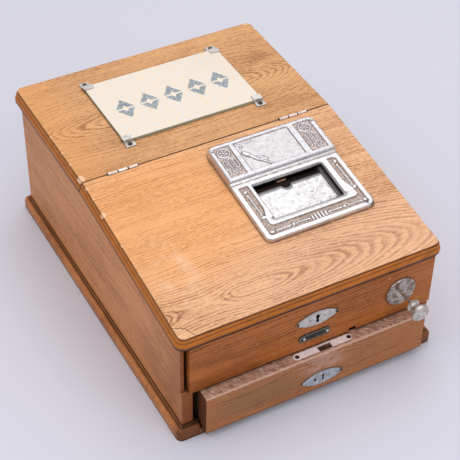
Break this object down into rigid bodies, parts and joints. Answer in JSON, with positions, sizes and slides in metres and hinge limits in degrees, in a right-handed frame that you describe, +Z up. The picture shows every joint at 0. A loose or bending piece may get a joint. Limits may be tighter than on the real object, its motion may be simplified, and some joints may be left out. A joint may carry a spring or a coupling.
{
  "type": "wooden counter till",
  "caption": "Wooden counter till with a sloping hinged lid, a metal writing window, a locking cash drawer and a push knob that rings a bell.",
  "frame": {"origin": "centre of the case's footprint, on the counter", "axes": "+X to the clerk's right, +Y to the back, +Z up; the drawer and the knob face -Y"},
  "size_m": [0.351, 0.5105, 0.2059],
  "materials": {
    "oak_top": "worn wax",
    "oak_side": "worn wax",
    "oak_front": "worn wax",
    "oak_moulding": "worn wax",
    "drawer_face": "dry and worn",
    "inner_wood": "bare",
    "nickel": "worn plate",
    "window_metal": "worn plate with dark recesses",
    "steel": "dull",
    "dark_iron": "painted black",
    "bell_metal": "dull",
    "sign_glass": "textured, backed with cream paper"
  },
  "bodies": {
    "case": {"side_left": "oak_side", "side_right": "oak_side", "back_panel": "oak_side", "bottom_board": "inner_wood", "divider_board": "inner_wood", "hinge_rail": "inner_wood", "base_left": "oak_moulding", "base_right": "oak_moulding", "base_back": "oak_moulding", "base_returns": "oak_moulding", "base_rail": "oak_moulding", "top_board": "oak_top", "hinge_leaves_case": "nickel", "hinge_pins": "steel", "front_panel": "oak_front", "panel_escutcheon": "nickel", "blank_badge": "dark_iron", "panel_tacks": "nickel", "lid_lock_case": "steel", "drawer_stops": "inner_wood", "drawer_spring": "steel", "knob_rosette": "nickel", "plunger_guide": "steel", "plunger_spring": "steel", "gong": "bell_metal", "bell_studs": "steel", "paper_cheeks": "steel", "paper_tie_rods": "steel", "writing_plate": "window_metal", "catch_bracket": "steel", "sign_plate": "sign_glass", "sign_clips": "nickel", "sign_screws": "nickel"},
    "lid": {"lid_board": "oak_top", "window_casting": "window_metal", "casting_screws": "window_metal", "hinge_leaves_lid": "nickel"},
    "drawer": {"drawer_front": "drawer_face", "drawer_side_left": "inner_wood", "drawer_side_right": "inner_wood", "drawer_back": "inner_wood", "drawer_floor": "inner_wood", "coin_tray": "inner_wood", "note_fences": "inner_wood", "drawer_lock_case": "steel", "lock_strip": "nickel", "strip_screws": "nickel", "drawer_escutcheon": "nickel", "drawer_tacks": "nickel", "drawer_keeper": "steel"},
    "plunger": {"plunger_rod": "steel", "plunger_knob": "nickel"},
    "drawer_bolt": {"drawer_bolt": "nickel"},
    "lid_bolt": {"lid_bolt": "steel"},
    "drawer_catch": {"drawer_catch": "steel"},
    "bell_hammer": {"bell_hammer": "steel"},
    "ratchet_arm": {"ratchet_arm": "steel"},
    "feed_roller": {"feed_roller": "steel"},
    "supply_spool": {"supply_spool": "inner_wood"},
    "takeup_spool": {"takeup_spool": "inner_wood"}
  },
  "joints": [
    {"name": "lid_hinge", "type": "hinge", "parent": "case", "child": "lid", "pos_m": [0, 0.023, 0.1958], "axis": [-1, 0, 0], "range_deg": [0, 105]},
    {"name": "drawer_slide", "type": "slide", "parent": "case", "child": "drawer", "axis": [0, -1, 0], "range_m": [-0.016, 0.24], "deforming": ["drawer_spring"]},
    {"name": "plunger_slide", "type": "slide", "parent": "case", "child": "plunger", "axis": [0, 1, 0], "range_m": [0, 0.02], "stiffness_N_per_m": 150, "springref_m": -0.005, "deforming": ["plunger_spring"]},
    {"name": "ratchet_swing", "type": "hinge", "parent": "case", "child": "ratchet_arm", "pos_m": [0.105, -0.0716, 0.14], "axis": [1, 0, 0], "range_deg": [0, 34.3]},
    {"name": "hammer_swing", "type": "hinge", "parent": "case", "child": "bell_hammer", "pos_m": [0.133, -0.0691, 0.15], "axis": [1, 0, 0], "range_deg": [0, 26.5]},
    {"name": "drawer_bolt_slide", "type": "slide", "parent": "drawer", "child": "drawer_bolt", "axis": [0, 0, 1], "range_m": [0, 0.007]},
    {"name": "lid_bolt_slide", "type": "slide", "parent": "case", "child": "lid_bolt", "axis": [0, 0, 1], "range_m": [0, 0.007]},
    {"name": "catch_swing", "type": "hinge", "parent": "case", "child": "drawer_catch", "pos_m": [0.0575, -0.1655, 0.088], "axis": [1, 0, 0], "range_deg": [0, 6.7]},
    {"name": "feed_spin", "type": "hinge", "parent": "case", "child": "feed_roller", "pos_m": [0.051, -0.05958, 0.17146], "axis": [1, 0, 0], "continuous": true},
    {"name": "supply_spin", "type": "hinge", "parent": "case", "child": "supply_spool", "pos_m": [0.055, -0.14, 0.118], "axis": [1, 0, 0], "continuous": true},
    {"name": "takeup_spin", "type": "hinge", "parent": "case", "child": "takeup_spool", "pos_m": [0.055, -0.0716, 0.14], "axis": [1, 0, 0], "continuous": true}
  ],
  "couplings": [
    {"joint": "ratchet_swing", "follows": "plunger_slide", "rad_per_m": 29.845},
    {"joint": "hammer_swing", "follows": "plunger_slide", "rad_per_m": 22.95}
  ]
}
